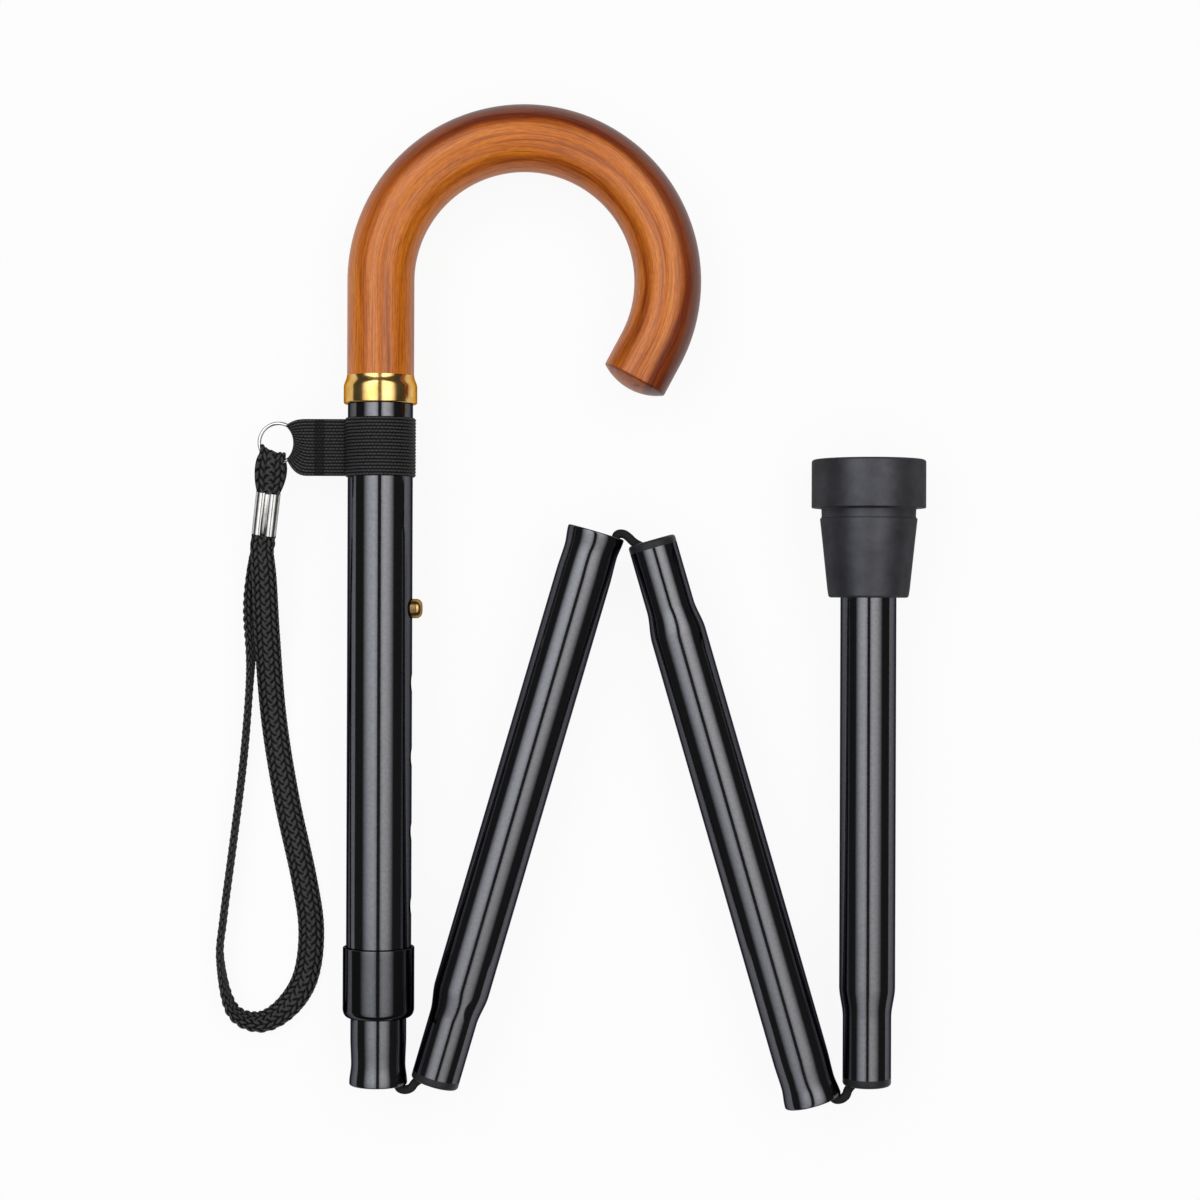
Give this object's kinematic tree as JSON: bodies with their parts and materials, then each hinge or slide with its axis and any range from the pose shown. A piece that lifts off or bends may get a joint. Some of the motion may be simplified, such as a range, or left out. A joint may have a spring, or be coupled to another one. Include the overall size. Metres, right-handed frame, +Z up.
{
  "type": "folding cane",
  "caption": "Folding walking cane with a wooden crook handle, sliding height lock, plug-together tube sections on an elastic cord, rubber tip and wrist strap.",
  "frame": {"origin": "on the floor under the middle of the laid-out cane, without the wrist cord", "axes": "+Y along the upper shaft towards the handle, +X from the shaft towards the rubber tip, +Z up from the floor it lies on"},
  "size_m": [0.2435, 0.3422, 0.0389],
  "materials": {
    "handle_wood": "varnished, satin gloss",
    "gold_metal": "polished",
    "black_tube": "gloss",
    "black_gloss_plastic": "gloss",
    "inner_plastic": "matte",
    "plug_plastic": "satin",
    "webbing": "woven",
    "braid": "braided",
    "steel": "bright",
    "spring_steel": "plain",
    "elastic": "matte",
    "tip_rubber": "matte"
  },
  "bodies": {
    "upper_shaft": {"crook_handle": "handle_wood", "handle_collar": "gold_metal", "outer_tube": "black_tube", "collet_bush": "inner_plastic", "strap_band": "webbing"},
    "lock_collar": {"lock_collar": "black_gloss_plastic"},
    "ring": {"strap_ring": "steel"},
    "strap": {"strap_ferrule": "steel", "cord_eye": "braid", "wrist_cord": "braid"},
    "inner_shaft": {"inner_tube": "black_tube", "guide_bush": "inner_plastic", "button_spring": "spring_steel", "upper_anchor": "inner_plastic", "upper_knot": "elastic", "elastic_1": "elastic"},
    "button": {"height_button": "gold_metal"},
    "link_1": {"cord_bend_1": "elastic"},
    "section_2": {"tube_2": "black_tube", "plug_2": "plug_plastic", "elastic_2": "elastic"},
    "link_2": {"cord_bend_2": "elastic"},
    "section_3": {"tube_3": "black_tube", "plug_3": "plug_plastic", "elastic_3": "elastic"},
    "link_3": {"cord_bend_3": "elastic"},
    "section_4": {"tube_4": "black_tube", "plug_4": "plug_plastic", "elastic_4": "elastic", "lower_anchor": "inner_plastic", "lower_knot": "elastic", "rubber_tip": "tip_rubber", "tip_washer": "spring_steel"}
  },
  "joints": [
    {"name": "height_slide", "type": "slide", "parent": "upper_shaft", "child": "inner_shaft", "axis": [0, -1, 0], "range_m": [0, 0.1016], "deforming": ["height_button"]},
    {"name": "collar_twist", "type": "hinge", "parent": "upper_shaft", "child": "lock_collar", "pos_m": [-0.07207, -0.13993, 0.01945], "axis": [0, 1, 0], "range_deg": [0, 120]},
    {"name": "ring_swing", "type": "hinge", "parent": "upper_shaft", "child": "ring", "pos_m": [-0.10056, 0.05557, 0.01945], "axis": [0, 1, 0], "range_deg": [-20, 60]},
    {"name": "strap_swing", "type": "hinge", "parent": "ring", "child": "strap", "pos_m": [-0.10902, 0.04939, 0.01945], "axis": [0, 0, -1], "range_deg": [-1, 20]},
    {"name": "button_press", "type": "slide", "parent": "inner_shaft", "child": "button", "axis": [-1, 0, 0], "range_m": [0, 0.0034], "stiffness_N_per_m": 1500, "deforming": ["button_spring"]},
    {"name": "fold_1", "type": "hinge", "parent": "inner_shaft", "child": "link_1", "pos_m": [-0.06297, -0.16443, 0.01945], "axis": [0, 0, -1], "range_deg": [-8, 163.8], "deforming": ["cord_bend_1"]},
    {"name": "plug_in_1", "type": "slide", "parent": "link_1", "child": "section_2", "axis": [-0.279, -0.9603, 0], "range_m": [0, 0.0292], "deforming": ["elastic_1", "elastic_2"]},
    {"name": "fold_2", "type": "hinge", "parent": "section_2", "child": "link_2", "pos_m": [0.01064, 0.02443, 0.01945], "axis": [0, 0, 1], "range_deg": [-7.25, 147.52], "deforming": ["cord_bend_2"]},
    {"name": "plug_in_2", "type": "slide", "parent": "link_2", "child": "section_3", "axis": [-0.2807, 0.9598, 0], "range_m": [0, 0.0292], "deforming": ["elastic_3"]},
    {"name": "fold_3", "type": "hinge", "parent": "section_3", "child": "link_3", "pos_m": [0.08543, -0.16718, 0.01945], "axis": [0, 0, -1], "range_deg": [-8.05, 163.72], "deforming": ["cord_bend_3"]},
    {"name": "plug_in_3", "type": "slide", "parent": "link_3", "child": "section_4", "axis": [0, -1, 0], "range_m": [0, 0.0292], "deforming": ["elastic_4"]}
  ],
  "couplings": [
    {"joint": "fold_2", "follows": "fold_1", "ratio": 0.90049},
    {"joint": "fold_3", "follows": "fold_1", "ratio": 0.99939}
  ]
}
